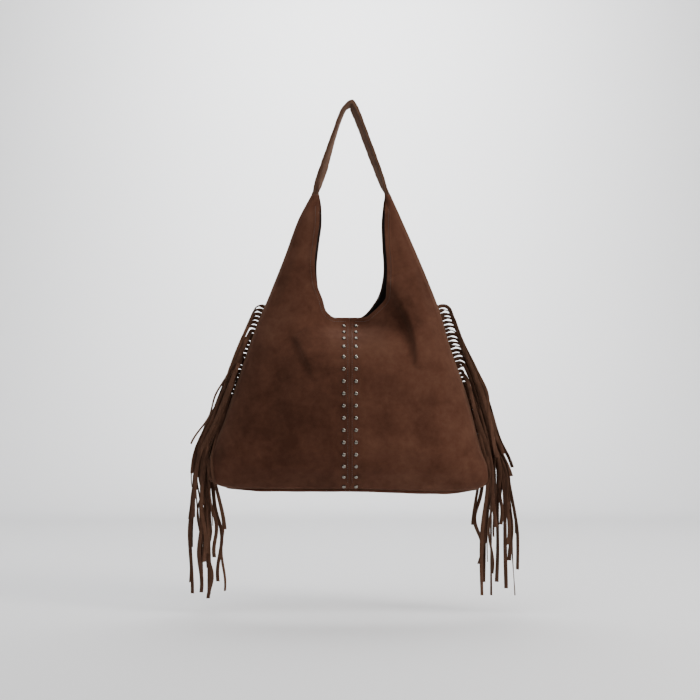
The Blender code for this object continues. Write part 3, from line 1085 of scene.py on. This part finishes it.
@dataclass
class Base:
    """The suede base with its rolled rim, under the panels' bottom seam."""

    skin: Skin
    suede: bpy.types.Material
    thickness: float = 4.0
    sag: float = 2.2
    roll: float = 1.6
    gap: float = 0.3

    def ring(self, x: float, half: float) -> list[tuple[float, float, float]]:
        """Gives the base's section at one place along the bag.

        Args:
            x: the place.
            half: half the base's width there.

        Returns:
            The section's points, in order round it.
        """
        top = float(PATTERN.base_seam(np.array(x))) - self.gap
        roll = min(self.roll, half * 0.6)
        fade = min(half / 30.0, 1.0)
        end = float(PATTERN.side_seam[Side.RIGHT if x > 0 else Side.LEFT](SEAM_Z))
        thick = self.thickness * (0.12 + 0.88 * float(ease((end - abs(x)) / 60)))
        points = []
        for s in np.linspace(-1, 1, 11):
            points.append((x, s * (half - roll), top))
        for a in np.linspace(60, -60, 5):
            angle = math.radians(a)
            points.append((x, half - roll + roll * math.cos(angle) * 1.25,
                           top - thick / 2 + thick / 2 * math.sin(angle)))
        for s in np.linspace(1, -1, 17):
            drop = self.sag * fade * (1 - s * s) + 0.25 * float(waves(x, 40 * s, 46, 12)) * fade
            points.append((x, s * (half - roll), top - thick - drop))
        for a in np.linspace(-60, 60, 5):
            angle = math.radians(a)
            points.append((x, -(half - roll + roll * math.cos(angle) * 1.25),
                           top - thick / 2 + thick / 2 * math.sin(angle)))
        return points

    def build(self) -> None:
        """Makes the base."""
        places = []
        for side in Side:
            grid = PanelGrid(Face.FRONT, side, self.skin, horn_columns=40, mouth_columns=16)
            x = grid.columns(SEAM_Z)
            half = self.skin.point(x, np.full(x.shape, SEAM_Z), side, Face.BACK)
            pairs = [(side.value * float(a), max(float(h), 0.8)) for a, h in zip(x, half)]
            places += pairs if side is Side.LEFT else pairs[-2::-1]
        mesher = Mesher()
        mesher.tube(np.array([self.ring(x, half) for x, half in places]))
        place_piece(mesher.make("base_suede", self.suede), "suede", "base_panel")


@dataclass
class Strap:
    """One band of suede, folded in two and sewn along both edges, twisted from horn to horn.

    Attributes:
        stations: (x, z, tilt, twist, width, thickness) along the band, left to right, with the
            angles in degrees. The ends are gathered round the tips of the horns.
    """

    suede: bpy.types.Material
    stations: tuple[tuple[float, ...], ...] = (
        (-56.9, -148, 82, 0, 9, 6.0),
        (-55.9, -142, 80, 0, 11, 11.6),
        (-54.4, -135, 78, -3, 12, 9.4),
        (-52.0, -127, 75, -10, 19, 9.2),
        (-47.8, -114, 72, -16, 23, 7.6),
        (-42.2, -98, 71, -18, 25, 6.4),
        (-33.3, -69, 72, -13, 25, 5.2),
        (-23.0, -37, 70, -6, 25, 5),
        (-14.4, -13, 64, -4, 25, 5.6),
        (-9.6, -3.6, 50, -2, 25, 6),
        (-3.2, 2.6, 32, 4, 25, 7),
        (2.0, 5.2, -14, 12, 25, 6.6),
        (6.4, -2.4, -60, 18, 25, 6.4),
        (12.4, -16, -67, 20, 25, 5.6),
        (20.4, -37, -69, 20, 25, 5),
        (32.3, -69, -70, 20, 25, 5),
        (43.2, -98, -70, 18, 25, 5),
        (50.2, -117, -72, 17, 22, 5.4),
        (55.0, -130, -74, 10, 17, 6.2),
        (58.4, -137, -77, 3, 12, 7.0),
        (60.4, -143, -80, 0, 11, 9.0),
        (61.6, -148, -82, 0, 9, 5.0),
    )
    steps: int = 12

    def frames(self) -> list[tuple[Vector, Vector, Vector, float, float]]:
        """Gives the band's centre, width and thickness directions and sizes, step by step.

        Returns:
            (centre, wide, thin, width, thickness) tuples.
        """
        count = len(self.stations)
        curves = [Curve([(i, row[k]) for i, row in enumerate(self.stations)]) for k in range(6)]
        made = []
        for t in np.linspace(0, count - 1, (count - 1) * self.steps + 1):
            x, z, tilt, twist, width, thick = (float(c(t)) for c in curves)
            lean, turn = math.radians(tilt), math.radians(abs(twist))
            out = Vector((-math.sin(lean), 0, math.cos(lean)))
            deep = Vector((0, 1, 0))
            wide = deep * math.cos(turn) - out * math.sin(turn)
            thin = out * math.cos(turn) + deep * math.sin(turn)
            made.append((Vector((x, 0, z)), wide, thin, width, thick))
        return made

    def section(self, width: float, thick: float) -> list[tuple[float, float]]:
        """Gives the folded band's section: two layers with a parting line along each edge.

        Args:
            width: across the band.
            thick: through both layers.

        Returns:
            (across, through) pairs, in order round the section.
        """
        w, t = width / 2, thick / 2
        line = min(2.6, w * 0.4)
        half = [
            (w - 0.7, 0.0), (w - 0.05, 0.18 * t), (w, 0.5 * t), (w - 0.35, 0.88 * t),
            (w - 1.1, t), (w - line + 0.6, t), (w - line, t - 0.35), (w - line - 0.6, t),
            (w * 0.4, t + 0.15), (0.0, t + 0.2),
        ]
        top = half + [(-a, b) for a, b in reversed(half[:-1])]
        return top + [(a, -b) for a, b in reversed(top[1:-1])]

    def build(self) -> None:
        """Makes the strap."""
        rings = []
        for number, (centre, wide, thin, width, thick) in enumerate(self.frames()):
            ring = []
            for across, through in self.section(width, thick):
                soft = 0.16 * math.sin(number * 0.55 + across * 0.3) + 0.12 * math.sin(number * 1.3)
                ring.append(centre + wide * across + thin * (through + soft))
            rings.append([tuple(p) for p in ring])
        mesher = Mesher()
        mesher.tube(np.array(rings))
        place_piece(mesher.make("strap_suede", self.suede, sharp=60), "suede", "strap")

    def seam(self, edge: int, layer: int) -> tuple[list[Vector], list[Vector]]:
        """Gives one stitch line of the strap.

        Args:
            edge: -1 for the front edge, 1 for the back edge.
            layer: -1 for the inner face, 1 for the outer face.

        Returns:
            The line's points and the directions out of the suede.
        """
        points, outward = [], []
        for centre, wide, thin, width, thick in self.frames()[14:-14]:
            across = edge * (width / 2 - min(2.6, width * 0.2))
            points.append(centre + wide * across + thin * layer * (thick / 2 - 0.15))
            outward.append(thin * layer)
        return points, outward


@dataclass
class Stitching:
    """Rows of lock stitches, one small bent length of thread each.

    Attributes:
        arch: one stitch as (share of its length, rise, share of its radius) rings.
    """

    thread: bpy.types.Material
    pitch: float = 3.7
    length: float = 2.9
    radius: float = 0.34
    arch: tuple[tuple[float, float, float], ...] = (
        (0, -0.35, 0.5), (0.12, 0.12, 0.9), (0.5, 0.3, 1.0), (0.88, 0.12, 0.9), (1, -0.35, 0.5),
    )
    mesher: Mesher = field(default_factory=Mesher)

    def row(self, points: list[Vector], outward: list[Vector]) -> None:
        """Sews one row along a line.

        Args:
            points: the line, on the suede.
            outward: the direction out of the suede at each point.
        """
        spots = np.array([tuple(p) for p in points])
        away = np.array([tuple(o) for o in outward])
        run = np.concatenate([[0], np.cumsum(np.linalg.norm(np.diff(spots, axis=0), axis=1))])
        start = self.pitch / 2
        while start + self.length < run[-1]:
            rings = []
            for share, rise, size in self.arch:
                at = start + self.length * share
                here = np.array([np.interp(at, run, spots[:, k]) for k in range(3)])
                ahead = np.array([np.interp(at + 0.4, run, spots[:, k]) for k in range(3)])
                up = np.array([np.interp(at, run, away[:, k]) for k in range(3)])
                along = ahead - here
                along = along / max(np.linalg.norm(along), 1e-6)
                up = up / max(np.linalg.norm(up), 1e-6)
                beside = np.cross(along, up)
                ring = []
                for j in range(6):
                    angle = math.radians(60 * j)
                    offset = beside * math.cos(angle) + up * math.sin(angle)
                    ring.append(here + up * rise + offset * self.radius * size)
                rings.append(ring)
            self.mesher.tube(np.array(rings))
            start += self.pitch

    def skin_row(self, skin: Skin, face: Face, side: Side, line: list[tuple[float, float]]) -> None:
        """Sews one row over a panel.

        Args:
            skin: the panels' shape.
            face: front or back.
            side: which half.
            line: (distance from the centre line, height) points.
        """
        x = np.array([p[0] for p in line])
        z = np.array([p[1] for p in line])
        depth = skin.point(x, z, side, face)
        slope_x = (skin.point(x + 0.6, z, side, face) - skin.point(x - 0.6, z, side, face)) / 1.2
        slope_z = (skin.point(x, z + 0.6, side, face) - skin.point(x, z - 0.6, side, face)) / 1.2
        points = [Vector((side.value * a, face.value * d, c)) for a, d, c in zip(x, depth, z)]
        outward = [
            Vector((-side.value * a, face.value, -b)).normalized() for a, b in zip(slope_x, slope_z)
        ]
        self.row(points, outward)

    def build(self, name: str) -> None:
        """Makes the rows one object.

        Args:
            name: the object's name.
        """
        place_piece(self.mesher.make(name, self.thread), "suede")
        self.mesher = Mesher()


def hem_line(face: Face, side: Side, inset: float) -> list[tuple[float, float]]:
    """Gives the line of the mouth hem's stitches.

    Args:
        face: front or back.
        side: which half.
        inset: distance in from the mouth's edge.

    Returns:
        (distance from the centre line, height) points, from the horn down to the centre.
    """
    curve = PATTERN.mouth_edge[face, side]
    heights = np.concatenate([np.linspace(-158, -330, 90), np.linspace(-331, -337, 14)])
    edge = [(float(curve(z)), float(z)) for z in heights]
    edge += [(x, MOUTH_Z) for x in np.linspace(edge[-1][0], 4.6, 12)[1:]]
    line = []
    for i, (x, z) in enumerate(edge):
        ahead, behind = edge[min(i + 2, len(edge) - 1)], edge[max(i - 2, 0)]
        dx, dz = ahead[0] - behind[0], ahead[1] - behind[1]
        size = math.hypot(dx, dz)
        line.append((x - dz / size * inset, z + dx / size * inset))
    return [p for p in line if p[0] > 4.4]


@dataclass
class Fringe:
    """One side's comb of knife-cut laces, hanging from the side seam.

    Attributes:
        side: which side seam.
        rise: how far the laces stand out before they bend down.
        growth: how much further out a lace lies per millimetre hung down.
        open_laces: how many laces from the top stand clear of the seam, with daylight between.
    """

    side: Side
    skin: Skin
    suede: bpy.types.Material
    rise: float
    growth: float
    open_laces: int
    count: int = 37
    length: float = 250.0
    width: float = 6.0
    thickness: float = 1.3
    first_z: float = -320.0
    last_z: float = -552.0
    corner_z: float = -590.0
    lanes: tuple[tuple[float, float], ...] = ((0, 14), (17, -6), (-8.5, 4), (8.5, -14), (-17, -24))

    def drape(self) -> np.ndarray:
        """Gives the line that the laces lie along.

        Returns:
            (x, z, angle) at every millimetre, down the side seam and then hanging free.
        """
        seam = PATTERN.side_seam[self.side]
        x, z, slope = float(seam(self.first_z)), self.first_z, 0.0
        steps = []
        for _ in range(620):
            if z > self.corner_z + 20:
                slope = math.atan2(float(seam(z - 4)) - float(seam(z + 4)), 8.0)
            else:
                slope *= 0.95
            steps.append((x, z, slope))
            x += math.sin(slope)
            z -= math.cos(slope)
        return np.array(steps)

    def lace(self, number: int, line: np.ndarray) -> np.ndarray:
        """Gives one lace's rings, from inside the seam to its tip.

        Args:
            number: which lace, from the top.
            line: the drape line.

        Returns:
            The rings' points.
        """
        rng = np.random.default_rng(500 * (self.side.value + 2) + number)
        root_z = self.first_z + (self.last_z - self.first_z) / (self.count - 1) * number
        start = float(np.argmin(np.abs(line[:, 1] - root_z)))
        last = float(np.argmin(np.abs(line[:, 1] - self.last_z)))
        lane, sway = self.lanes[number % len(self.lanes)]
        share = rng.uniform(0.82, 1.0) if number < self.open_laces else rng.uniform(0.12, 1.0)
        facing = rng.uniform(20, 90)
        if share < 0.6:
            lane, facing = rng.uniform(-24, -7), rng.uniform(0, 45)
        length = self.length + rng.uniform(-14, 9)
        s = np.concatenate([np.arange(0, 40, 1.5), np.arange(40, length, 5.0), [length]])
        fine = np.arange(0, length + 0.5, 0.5)
        bend = self.rise * 1.65 * share
        turning = math.pi / 2 * ease((fine - 1) / bend)
        along = np.interp(s, fine, np.cumsum(np.sin(turning)) * 0.5)
        out = np.interp(s, fine, np.cumsum(np.cos(turning)) * 0.5)
        turn = math.pi / 2 * ease((s - 1) / bend)
        at = np.clip(start + along, 0, len(line) - 1)
        index = np.arange(len(line))
        x, z, slope = (np.interp(at, index, line[:, k]) for k in range(3))
        stack = out + self.growth * np.maximum(np.minimum(start + along, last) - start, 0)
        below = ease(np.maximum(self.corner_z + 70 - z, 0) / 170)
        loose = ease((s - 30) / 120)
        drift = rng.normal(0, 3.2) * loose + rng.normal(0, 1.6) * loose * np.sin(
            s / rng.uniform(24, 42) + rng.uniform(0, 6))
        kinks = rng.uniform(0.0, 4.2) * (rng.random() < 0.5) * ease((s - 90) / 80)
        drift = drift + kinks * np.sin(s / rng.uniform(12, 20) + rng.uniform(0, 6))
        deep = lane * ease((s - 2) / 28) + rng.normal(0, 2.6) * loose + rng.normal(0, 1.2) * (
            loose * np.sin(s / rng.uniform(26, 40) + rng.uniform(0, 6)))
        flat = x + stack * np.cos(slope) + sway * below + drift
        high = z + stack * np.sin(slope)
        if share < 0.6 and number > 16:
            face = Face.BACK if rng.random() < 0.5 else Face.FRONT
            most = 0.7 if face is Face.BACK else 0.35
            plumb = rng.uniform(0.1, 1.0) * most * ease((s - 12) / 30)
            flat = flat - np.minimum((x - x[0]) * plumb, 22.0)
            panel = self.skin.point(np.minimum(flat, PATTERN.side_seam[self.side](high)),
                                    np.maximum(high, SEAM_Z), self.side, face)
            clear = (panel + 3.0) * (1 - ease((SEAM_Z - high) / 60)) * ease((s - 4) / 14)
            deep = face.value * np.maximum(np.abs(deep), clear)
        centre = np.stack([flat, deep, high], axis=1)
        across = np.stack([
            np.sin(slope) * np.cos(turn) - np.cos(slope) * np.sin(turn),
            np.zeros(len(s)),
            -np.cos(slope) * np.cos(turn) - np.sin(slope) * np.sin(turn),
        ], axis=1)
        curl = math.radians(rng.uniform(-60, 60)) * ease((s - 18) / 90)
        curl = curl + math.radians(rng.uniform(8, 26)) * loose * np.sin(
            s / rng.uniform(30, 60) + rng.uniform(0, 6))
        twist = math.radians(facing) * ease(s / 10) + curl
        forward = np.array([0.0, 1.0, 0.0])
        wide = across * np.cos(twist)[:, None] + forward * np.sin(twist)[:, None]
        thin = forward * np.cos(twist)[:, None] - across * np.sin(twist)[:, None]
        w = self.width / 2 * (1 + 0.06 * np.sin(s / 31 + number))
        t = self.thickness / 2
        cup = 0.35 * np.sin(s / 22 + number * 1.7)
        rings = []
        for a, b in ((-1, -0.5), (-0.86, -1), (0, -1), (0.86, -1), (1, -0.5), (1, 0.5),
                     (0.86, 1), (0, 1), (-0.86, 1), (-1, 0.5)):
            bowed = b * t + cup * (1 - a * a)
            rings.append(centre + wide * (a * w)[:, None] + thin * bowed[:, None])
        made = np.stack(rings, axis=1)
        root = made[0] - np.array([6.5, 0.0, 1.5])
        root[:, 1] *= 0.7
        made = np.concatenate([root[None], made])
        made[..., 0] *= self.side.value
        return made

    def build(self) -> None:
        """Makes the fringe."""
        line = self.drape()
        mesher = Mesher()
        for number in range(self.count):
            mesher.tube(self.lace(number, line))
        seam = PATTERN.side_seam[self.side]
        strip = []
        for z in np.linspace(self.first_z + 4, self.last_z - 4, 80):
            edge = float(seam(z))
            strip.append([(self.side.value * (edge + dx), dy, z)
                          for dx, dy in ((-8, -0.5), (0.6, -0.5), (0.6, 0.5), (-8, 0.5))])
        mesher.tube(np.array(strip))
        thing = mesher.make(f"{self.side.word}_laces", self.suede)
        place_piece(thing, "lace_suede", f"{self.side.word}_fringe")


@dataclass
class Studs:
    """Two rows of domed nickel studs, one on each side of the front centre seam."""

    skin: Skin
    nickel: bpy.types.Material
    first_z: float = -350.4
    pitch: float = 19.1
    out_x: float = 9.6
    count: int = 16
    radius: float = 3.1
    height: float = 2.4

    def heights(self) -> list[float]:
        """Gives the studs' heights, at equal steps along the suede."""
        z = self.first_z
        depth = float(PATTERN.centre_depth(z))
        places, run = [z], 0.0
        while len(places) < self.count:
            z -= 0.1
            curve = PATTERN.centre_depth if z > PINCH_LOW_Z else PATTERN.fullness
            following = float(curve(z))
            run += math.hypot(0.1, following - depth)
            depth = following
            if run >= self.pitch:
                places.append(z)
                run = 0.0
        return places

    def dome(self, place: Vector, normal: Vector) -> np.ndarray:
        """Gives one stud's rings, from its rim up.

        Args:
            place: the middle of its foot.
            normal: the direction out of the suede.

        Returns:
            The rings.
        """
        turn = np.array(normal.to_track_quat("Z", "Y").to_matrix())
        profile = [(0.90, -0.5), (0.97, 0.0), (1.0, 0.12), (0.99, 0.26)]
        profile += [(math.cos(a), 0.26 + 0.74 * math.sin(a)) for a in np.linspace(0.18, 1.45, 8)]
        around = np.linspace(0, 2 * math.pi, 25)[:-1]
        rings = [
            np.stack([self.radius * r * np.cos(around), self.radius * r * np.sin(around),
                      np.full(24, self.height * h)], axis=1) for r, h in profile
        ]
        return np.array(rings) @ turn.T + np.array(tuple(place))

    def build(self) -> None:
        """Makes the studs, each on the suede under it."""
        for side in Side:
            for number, z in enumerate(self.heights(), start=1):
                x = np.array([self.out_x, self.out_x + 2.5, self.out_x - 2.5] + [self.out_x] * 2)
                zs = np.array([z, z, z, z + 2.5, z - 2.5])
                depth = self.skin.point(x, zs, side, Face.FRONT)
                across = side.value * (depth[1] - depth[2]) / 5
                normal = Vector((-across, -1.0, -(depth[3] - depth[4]) / 5)).normalized()
                normal.x *= -1 if across == 0 else 1
                out = side.value * self.out_x
                place = Vector((out, -float(depth[0]), float(sagged(out, z)))) + normal * 0.2
                mesher = Mesher()
                mesher.tube(self.dome(place, normal))
                thing = mesher.make(f"dome_{side.word}_{number:02d}", self.nickel)
                place_piece(thing, "nickel", f"stud_{side.word}_{number:02d}")


@dataclass
class Studio:
    """A pale paper sweep under broad soft light, and a long lens level with the bag's middle."""

    paper: bpy.types.Material
    card: bpy.types.Material
    middle: Vector = field(default_factory=lambda: Vector((0.0, 0.0, -0.3888)))
    distance: float = 2.8
    floor_z: float = -0.812
    wall_y: float = 3.0
    sweep_radius: float = 1.2

    def lamp(self, name: str, place: tuple, power: float, size: tuple, colour: str,
             target: Vector) -> None:
        """Adds a rectangular soft light.

        Args:
            name: the light's name.
            place: where it stands, in metres.
            power: in watts.
            size: its width and height in metres.
            colour: sRGB hex.
            target: what it faces.
        """
        data = bpy.data.lights.new(name, "AREA")
        data.shape = "RECTANGLE"
        data.size, data.size_y = size
        data.energy = power
        data.color = linear(colour)[:3]
        light = bpy.data.objects.new(name, data)
        light.location = place
        light.visible_camera = False
        light.rotation_euler = (target - light.location).to_track_quat("-Z", "Y").to_euler()
        bpy.context.scene.collection.objects.link(light)

    def sweep(self) -> None:
        """Adds the paper: a floor that curves up into a wall."""
        profile = [(-4.5, self.floor_z)]
        for angle in np.linspace(0, math.pi / 2, 17):
            profile.append((self.wall_y - self.sweep_radius * (1 - math.sin(angle)),
                            self.floor_z + self.sweep_radius * (1 - math.cos(angle))))
        profile.append((self.wall_y, 3.4))
        mesher = Mesher()
        points = [(x * 1000, y * 1000, z * 1000) for x in (-4.5, 4.5) for y, z in profile]
        n = len(profile)
        mesher.add(points, [(i, n + i, n + i + 1, i + 1) for i in range(n - 1)])
        thing = mesher.make("paper_sweep", self.paper, closed=False)

    def flag(self) -> None:
        """Stands a black card on the left, out of the picture, to keep that side in shade."""
        mesher = Mesher()
        mesher.add([(-1500.0, y, z) for y in (-2200.0, -100.0) for z in (-800.0, 700.0)],
                   [(0, 1, 3, 2)])
        thing = mesher.make("black_flag", self.card, closed=False)
        thing.visible_camera = False

    def build(self) -> None:
        """Sets up the paper, the lights, the world and the camera."""
        self.sweep()
        self.flag()
        self.lamp("key_softbox", (2.2, -1.4, 0.7), 57, (0.9, 1.4), "#fff8f0", self.middle)
        self.lamp("fill_softbox", (-1.3, -2.4, 0.3), 4, (1.4, 1.4), "#ffffff", self.middle)
        self.lamp("top_softbox", (0.0, -0.8, 1.8), 52, (2.6, 1.5), "#ffffff",
                  Vector((0.0, -0.2, -0.8)))
        self.lamp("wall_wash", (0.0, 1.9, 0.75), 56, (1.2, 0.9), "#ffffff",
                  Vector((0.0, self.wall_y, 0.5)))
        self.lamp("floor_wash", (0.0, 1.0, 1.0), 40, (2.6, 1.0), "#ffffff",
                  Vector((0.0, 0.6, -0.81)))
        world = bpy.data.worlds.new("studio_air")
        world.use_nodes = True
        world.node_tree.nodes["Background"].inputs["Color"].default_value = linear("#eeebe8")
        world.node_tree.nodes["Background"].inputs["Strength"].default_value = 0.22
        bpy.context.scene.world = world
        data = bpy.data.cameras.new("bag_camera")
        data.lens = 90
        data.sensor_width = 36
        camera = bpy.data.objects.new("bag_camera", data)
        camera.location = self.middle + Vector((0, -self.distance, 0))
        camera.rotation_euler = (math.radians(90), 0, 0)
        bpy.context.scene.collection.objects.link(camera)
        bpy.context.scene.camera = camera


def finish_frame_nodes(nodes: dict[str, bpy.types.Object],
                       looks: dict[str, tuple[bpy.types.Material, str]]) -> None:
    """Gives the frame's own nodes their finishes.

    Args:
        nodes: the frame's objects by name.
        looks: node name to (finish, record slot).
    """
    for name, (finish, slot) in looks.items():
        data = nodes[name].data
        for index in range(max(len(data.materials), 1)):
            if index < len(data.materials):
                data.materials[index] = finish
            else:
                data.materials.append(finish)


def main() -> None:
    """Builds the bag over its frame and sets up the studio."""
    logging.basicConfig(level=logging.INFO, format="%(name)s: %(message)s", stream=sys.stdout)
    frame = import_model()
    skin = Skin()
    suede = Suede().build()
    laces = Suede(name="suede_laces", dark="#2c1b12", middle="#452e22", light="#5f4234",
                  nap_patch_mm=6.0, lengthwise=0.05).build()
    nickel = Nickel().build()
    # The front halves are copies of the suede with painted shade. On the left it darkens the lower
    # part, which the key light from the right leaves in shade.
    fronts = {
        Side.LEFT: Suede(name="suede_front_left_painted_shade", painted_shade=(-0.085, -0.06, -0.50),
                         painted_shade_reach=0.20, painted_shade_depth=0.17).build(),
        # On the right the painted shade darkens the crease beside the mouth's corner, on the slope
        # that faces away from the key light.
        Side.RIGHT: Suede(name="suede_front_right_painted_shade", painted_shade=(0.080, -0.045, -0.335),
                          painted_shade_reach=0.05, painted_shade_depth=0.24).build(),
    }
    Panels(skin, suede, fronts).build()
    SideSeams(suede).build()
    Lining(skin, LiningCloth().build()).build()
    Base(skin, suede).build()
    strap = Strap(Suede(name="suede_strap", dark="#402b21", middle="#50392d",
                        light="#614a3d").build())
    strap.build()
    Fringe(Side.LEFT, skin, laces, rise=12.0, growth=0.060, open_laces=5).build()
    Fringe(Side.RIGHT, skin, laces, rise=18.0, growth=0.046, open_laces=14).build()
    Studs(skin, nickel).build()
    finish_frame_nodes(frame["nodes"], {
        "snap_front": (nickel, "nickel"),
        "snap_back": (nickel, "nickel"),
        "base_board": (Fibreboard().build(), "board"),
    })
    thread = Stitching(Thread().build())
    for side in Side:
        for face in Face:
            thread.skin_row(skin, face, side, hem_line(face, side, HEM_STITCH_INSET))
    thread.build("hem_stitches")
    for side in Side:
        line = [(CENTRE_STITCH_X, z) for z in np.linspace(MOUTH_Z - 8, SEAM_Z + 8, 200)]
        thread.skin_row(skin, Face.FRONT, side, line)
    thread.build("centre_stitches")
    for edge in (-1, 1):
        for layer in (-1, 1):
            thread.row(*strap.seam(edge, layer))
    thread.build("strap_stitches")
    Studio(Backdrop().build(), Backdrop("black_card", "#141414").build()).build()
    LOG.info("the bag is built")


if __name__ == "__main__":
    main()
